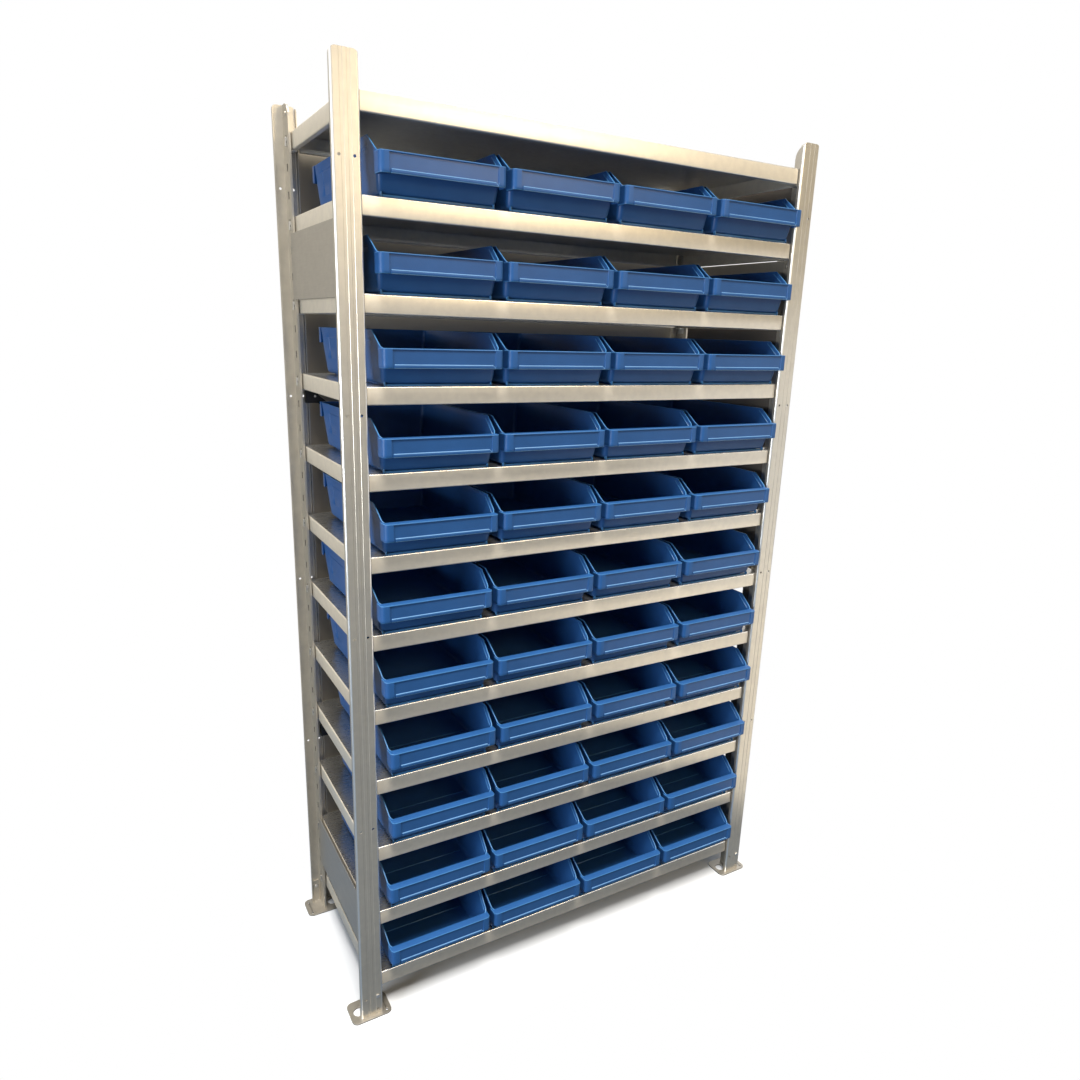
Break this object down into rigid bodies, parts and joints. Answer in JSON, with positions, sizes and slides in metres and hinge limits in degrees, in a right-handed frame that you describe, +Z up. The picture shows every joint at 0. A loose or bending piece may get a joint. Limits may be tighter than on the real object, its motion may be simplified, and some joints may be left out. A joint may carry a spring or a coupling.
{
  "type": "shelving unit with bins",
  "caption": "Free-standing boltless steel shelving unit with T-section posts, folded shelves, a rear cross brace and rows of open-fronted blue plastic shelf bins for small parts.",
  "frame": {"origin": "on the floor, in the middle of the bounding box", "axes": "+X to the right along the front, +Y from front to rear, +Z up"},
  "size_m": [1.088, 0.428, 1.795],
  "materials": {
    "frame_metal": "satin light grey",
    "shelf_metal": "satin light grey",
    "bright_metal": "zinc plated",
    "black_metal": "matt black",
    "bin_plastic": "moulded, low gloss"
  },
  "bodies": {
    "frame": {"post_front_left": "frame_metal", "post_front_right": "frame_metal", "post_rear_left": "frame_metal", "post_rear_right": "frame_metal", "foot_plates": "frame_metal", "foot_rivets": "bright_metal", "top_shelf": "shelf_metal", "middle_shelves": "shelf_metal", "bottom_shelf": "shelf_metal", "shelf_clips": "bright_metal", "side_plates_left": "frame_metal", "side_plates_right": "frame_metal", "brace_strap_falling": "black_metal", "brace_strap_rising": "black_metal", "brace_brackets": "black_metal", "brace_screws": "bright_metal"},
    "bin_r01_c1": {"bin_r01_c1": "bin_plastic"},
    "bin_r01_c2": {"bin_r01_c2": "bin_plastic"},
    "bin_r01_c3": {"bin_r01_c3": "bin_plastic"},
    "bin_r01_c4": {"bin_r01_c4": "bin_plastic"},
    "bin_r02_c1": {"bin_r02_c1": "bin_plastic"},
    "bin_r02_c2": {"bin_r02_c2": "bin_plastic"},
    "bin_r02_c3": {"bin_r02_c3": "bin_plastic"},
    "bin_r02_c4": {"bin_r02_c4": "bin_plastic"},
    "bin_r03_c1": {"bin_r03_c1": "bin_plastic"},
    "bin_r03_c2": {"bin_r03_c2": "bin_plastic"},
    "bin_r03_c3": {"bin_r03_c3": "bin_plastic"},
    "bin_r03_c4": {"bin_r03_c4": "bin_plastic"},
    "bin_r04_c1": {"bin_r04_c1": "bin_plastic"},
    "bin_r04_c2": {"bin_r04_c2": "bin_plastic"},
    "bin_r04_c3": {"bin_r04_c3": "bin_plastic"},
    "bin_r04_c4": {"bin_r04_c4": "bin_plastic"},
    "bin_r05_c1": {"bin_r05_c1": "bin_plastic"},
    "bin_r05_c2": {"bin_r05_c2": "bin_plastic"},
    "bin_r05_c3": {"bin_r05_c3": "bin_plastic"},
    "bin_r05_c4": {"bin_r05_c4": "bin_plastic"},
    "bin_r06_c1": {"bin_r06_c1": "bin_plastic"},
    "bin_r06_c2": {"bin_r06_c2": "bin_plastic"},
    "bin_r06_c3": {"bin_r06_c3": "bin_plastic"},
    "bin_r06_c4": {"bin_r06_c4": "bin_plastic"},
    "bin_r07_c1": {"bin_r07_c1": "bin_plastic"},
    "bin_r07_c2": {"bin_r07_c2": "bin_plastic"},
    "bin_r07_c3": {"bin_r07_c3": "bin_plastic"},
    "bin_r07_c4": {"bin_r07_c4": "bin_plastic"},
    "bin_r08_c1": {"bin_r08_c1": "bin_plastic"},
    "bin_r08_c2": {"bin_r08_c2": "bin_plastic"},
    "bin_r08_c3": {"bin_r08_c3": "bin_plastic"},
    "bin_r08_c4": {"bin_r08_c4": "bin_plastic"},
    "bin_r09_c1": {"bin_r09_c1": "bin_plastic"},
    "bin_r09_c2": {"bin_r09_c2": "bin_plastic"},
    "bin_r09_c3": {"bin_r09_c3": "bin_plastic"},
    "bin_r09_c4": {"bin_r09_c4": "bin_plastic"},
    "bin_r10_c1": {"bin_r10_c1": "bin_plastic"},
    "bin_r10_c2": {"bin_r10_c2": "bin_plastic"},
    "bin_r10_c3": {"bin_r10_c3": "bin_plastic"},
    "bin_r10_c4": {"bin_r10_c4": "bin_plastic"},
    "bin_r11_c1": {"bin_r11_c1": "bin_plastic"},
    "bin_r11_c2": {"bin_r11_c2": "bin_plastic"},
    "bin_r11_c3": {"bin_r11_c3": "bin_plastic"},
    "bin_r11_c4": {"bin_r11_c4": "bin_plastic"}
  },
  "joints": [
    {"name": "bin_r01_c1_pull", "type": "slide", "parent": "frame", "child": "bin_r01_c1", "axis": [0, -1, 0], "range_m": [0, 0.4]},
    {"name": "bin_r01_c2_pull", "type": "slide", "parent": "frame", "child": "bin_r01_c2", "axis": [0, -1, 0], "range_m": [0, 0.4]},
    {"name": "bin_r01_c3_pull", "type": "slide", "parent": "frame", "child": "bin_r01_c3", "axis": [0, -1, 0], "range_m": [0, 0.4]},
    {"name": "bin_r01_c4_pull", "type": "slide", "parent": "frame", "child": "bin_r01_c4", "axis": [0, -1, 0], "range_m": [0, 0.4]},
    {"name": "bin_r02_c1_pull", "type": "slide", "parent": "frame", "child": "bin_r02_c1", "axis": [0, -1, 0], "range_m": [0, 0.4]},
    {"name": "bin_r02_c2_pull", "type": "slide", "parent": "frame", "child": "bin_r02_c2", "axis": [0, -1, 0], "range_m": [0, 0.4]},
    {"name": "bin_r02_c3_pull", "type": "slide", "parent": "frame", "child": "bin_r02_c3", "axis": [0, -1, 0], "range_m": [0, 0.4]},
    {"name": "bin_r02_c4_pull", "type": "slide", "parent": "frame", "child": "bin_r02_c4", "axis": [0, -1, 0], "range_m": [0, 0.4]},
    {"name": "bin_r03_c1_pull", "type": "slide", "parent": "frame", "child": "bin_r03_c1", "axis": [0, -1, 0], "range_m": [0, 0.4]},
    {"name": "bin_r03_c2_pull", "type": "slide", "parent": "frame", "child": "bin_r03_c2", "axis": [0, -1, 0], "range_m": [0, 0.4]},
    {"name": "bin_r03_c3_pull", "type": "slide", "parent": "frame", "child": "bin_r03_c3", "axis": [0, -1, 0], "range_m": [0, 0.4]},
    {"name": "bin_r03_c4_pull", "type": "slide", "parent": "frame", "child": "bin_r03_c4", "axis": [0, -1, 0], "range_m": [0, 0.4]},
    {"name": "bin_r04_c1_pull", "type": "slide", "parent": "frame", "child": "bin_r04_c1", "axis": [0, -1, 0], "range_m": [0, 0.4]},
    {"name": "bin_r04_c2_pull", "type": "slide", "parent": "frame", "child": "bin_r04_c2", "axis": [0, -1, 0], "range_m": [0, 0.4]},
    {"name": "bin_r04_c3_pull", "type": "slide", "parent": "frame", "child": "bin_r04_c3", "axis": [0, -1, 0], "range_m": [0, 0.4]},
    {"name": "bin_r04_c4_pull", "type": "slide", "parent": "frame", "child": "bin_r04_c4", "axis": [0, -1, 0], "range_m": [0, 0.4]},
    {"name": "bin_r05_c1_pull", "type": "slide", "parent": "frame", "child": "bin_r05_c1", "axis": [0, -1, 0], "range_m": [0, 0.4]},
    {"name": "bin_r05_c2_pull", "type": "slide", "parent": "frame", "child": "bin_r05_c2", "axis": [0, -1, 0], "range_m": [0, 0.4]},
    {"name": "bin_r05_c3_pull", "type": "slide", "parent": "frame", "child": "bin_r05_c3", "axis": [0, -1, 0], "range_m": [0, 0.4]},
    {"name": "bin_r05_c4_pull", "type": "slide", "parent": "frame", "child": "bin_r05_c4", "axis": [0, -1, 0], "range_m": [0, 0.4]},
    {"name": "bin_r06_c1_pull", "type": "slide", "parent": "frame", "child": "bin_r06_c1", "axis": [0, -1, 0], "range_m": [0, 0.4]},
    {"name": "bin_r06_c2_pull", "type": "slide", "parent": "frame", "child": "bin_r06_c2", "axis": [0, -1, 0], "range_m": [0, 0.4]},
    {"name": "bin_r06_c3_pull", "type": "slide", "parent": "frame", "child": "bin_r06_c3", "axis": [0, -1, 0], "range_m": [0, 0.4]},
    {"name": "bin_r06_c4_pull", "type": "slide", "parent": "frame", "child": "bin_r06_c4", "axis": [0, -1, 0], "range_m": [0, 0.4]},
    {"name": "bin_r07_c1_pull", "type": "slide", "parent": "frame", "child": "bin_r07_c1", "axis": [0, -1, 0], "range_m": [0, 0.4]},
    {"name": "bin_r07_c2_pull", "type": "slide", "parent": "frame", "child": "bin_r07_c2", "axis": [0, -1, 0], "range_m": [0, 0.4]},
    {"name": "bin_r07_c3_pull", "type": "slide", "parent": "frame", "child": "bin_r07_c3", "axis": [0, -1, 0], "range_m": [0, 0.4]},
    {"name": "bin_r07_c4_pull", "type": "slide", "parent": "frame", "child": "bin_r07_c4", "axis": [0, -1, 0], "range_m": [0, 0.4]},
    {"name": "bin_r08_c1_pull", "type": "slide", "parent": "frame", "child": "bin_r08_c1", "axis": [0, -1, 0], "range_m": [0, 0.4]},
    {"name": "bin_r08_c2_pull", "type": "slide", "parent": "frame", "child": "bin_r08_c2", "axis": [0, -1, 0], "range_m": [0, 0.4]},
    {"name": "bin_r08_c3_pull", "type": "slide", "parent": "frame", "child": "bin_r08_c3", "axis": [0, -1, 0], "range_m": [0, 0.4]},
    {"name": "bin_r08_c4_pull", "type": "slide", "parent": "frame", "child": "bin_r08_c4", "axis": [0, -1, 0], "range_m": [0, 0.4]},
    {"name": "bin_r09_c1_pull", "type": "slide", "parent": "frame", "child": "bin_r09_c1", "axis": [0, -1, 0], "range_m": [0, 0.4]},
    {"name": "bin_r09_c2_pull", "type": "slide", "parent": "frame", "child": "bin_r09_c2", "axis": [0, -1, 0], "range_m": [0, 0.4]},
    {"name": "bin_r09_c3_pull", "type": "slide", "parent": "frame", "child": "bin_r09_c3", "axis": [0, -1, 0], "range_m": [0, 0.4]},
    {"name": "bin_r09_c4_pull", "type": "slide", "parent": "frame", "child": "bin_r09_c4", "axis": [0, -1, 0], "range_m": [0, 0.4]},
    {"name": "bin_r10_c1_pull", "type": "slide", "parent": "frame", "child": "bin_r10_c1", "axis": [0, -1, 0], "range_m": [0, 0.4]},
    {"name": "bin_r10_c2_pull", "type": "slide", "parent": "frame", "child": "bin_r10_c2", "axis": [0, -1, 0], "range_m": [0, 0.4]},
    {"name": "bin_r10_c3_pull", "type": "slide", "parent": "frame", "child": "bin_r10_c3", "axis": [0, -1, 0], "range_m": [0, 0.4]},
    {"name": "bin_r10_c4_pull", "type": "slide", "parent": "frame", "child": "bin_r10_c4", "axis": [0, -1, 0], "range_m": [0, 0.4]},
    {"name": "bin_r11_c1_pull", "type": "slide", "parent": "frame", "child": "bin_r11_c1", "axis": [0, -1, 0], "range_m": [0, 0.4]},
    {"name": "bin_r11_c2_pull", "type": "slide", "parent": "frame", "child": "bin_r11_c2", "axis": [0, -1, 0], "range_m": [0, 0.4]},
    {"name": "bin_r11_c3_pull", "type": "slide", "parent": "frame", "child": "bin_r11_c3", "axis": [0, -1, 0], "range_m": [0, 0.4]},
    {"name": "bin_r11_c4_pull", "type": "slide", "parent": "frame", "child": "bin_r11_c4", "axis": [0, -1, 0], "range_m": [0, 0.4]}
  ]
}
